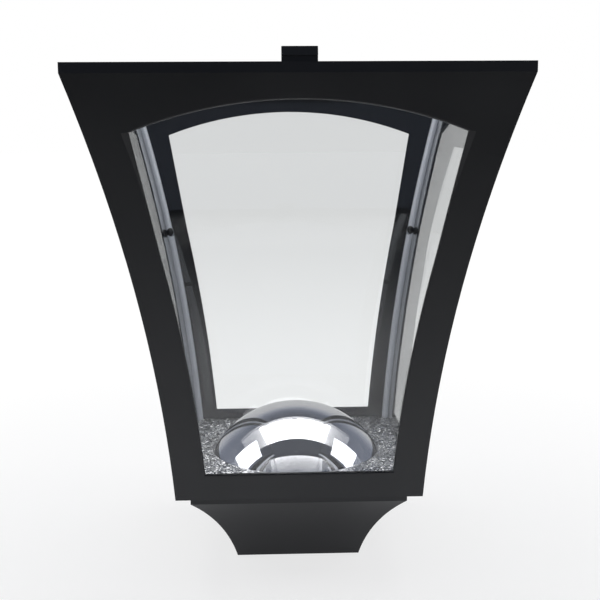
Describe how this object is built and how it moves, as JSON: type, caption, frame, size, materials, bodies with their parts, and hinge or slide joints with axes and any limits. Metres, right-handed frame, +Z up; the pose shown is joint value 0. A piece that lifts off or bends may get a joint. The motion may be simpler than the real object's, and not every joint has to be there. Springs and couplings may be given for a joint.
{
  "type": "lamp post lantern head",
  "caption": "Open-topped square lantern head with flared, arched, glazed sides, a mirror dome on a silver floor and a coved collar that takes a round lamp post.",
  "frame": {"origin": "centre of the collar's bottom face, where the lantern head meets the post", "axes": "+Z up along the post's axis, front at -Y, +X to the right seen from the front"},
  "size_m": [0.222, 0.222, 0.28],
  "materials": {
    "black_abs": "matte",
    "black_abs_inner": "matte",
    "clear_acrylic": "polished",
    "clear_bead": "gloss",
    "black_nylon": "satin",
    "silver_tray": "satin",
    "mirror_dome": "polished",
    "brass_insert": "satin",
    "black_steel": "satin",
    "zinc_steel": "satin"
  },
  "bodies": {
    "head": {"side_frame_front": "black_abs", "side_frame_right": "black_abs", "side_frame_rear": "black_abs", "side_frame_left": "black_abs", "clear_pane_front": "clear_acrylic", "clear_pane_right": "clear_acrylic", "clear_pane_rear": "clear_acrylic", "clear_pane_left": "clear_acrylic", "corner_bead_front_right": "clear_bead", "corner_bead_rear_right": "clear_bead", "corner_bead_rear_left": "clear_bead", "corner_bead_front_left": "clear_bead", "corner_rivets": "black_nylon", "base_plate": "black_abs_inner", "reflector_tray": "silver_tray", "reflector_dome": "mirror_dome", "post_collar": "black_abs", "post_sleeve": "black_abs_inner", "clamp_insert_right": "brass_insert", "clamp_insert_left": "brass_insert", "frame_screws": "zinc_steel", "collar_screws": "zinc_steel"},
    "front_catch": {"roof_catch_front": "black_abs"},
    "rear_catch": {"roof_catch_rear": "black_abs"},
    "right_clamp": {"clamp_screw_right": "black_steel"},
    "left_clamp": {"clamp_screw_left": "black_steel"}
  },
  "joints": [
    {"name": "front_catch_flex", "type": "hinge", "parent": "head", "child": "front_catch", "pos_m": [0, -0.109, 0.268], "axis": [-1, 0, 0], "range_deg": [0, 8], "stiffness_Nm_per_rad": 0.1},
    {"name": "rear_catch_flex", "type": "hinge", "parent": "head", "child": "rear_catch", "pos_m": [0, 0.109, 0.268], "axis": [1, 0, 0], "range_deg": [0, 8], "stiffness_Nm_per_rad": 0.1},
    {"name": "right_clamp_travel", "type": "slide", "parent": "head", "child": "right_clamp", "axis": [-1, 0, 0], "range_m": [-0.004, 0.0025]},
    {"name": "left_clamp_travel", "type": "slide", "parent": "head", "child": "left_clamp", "axis": [1, 0, 0], "range_m": [-0.004, 0.0025]}
  ]
}
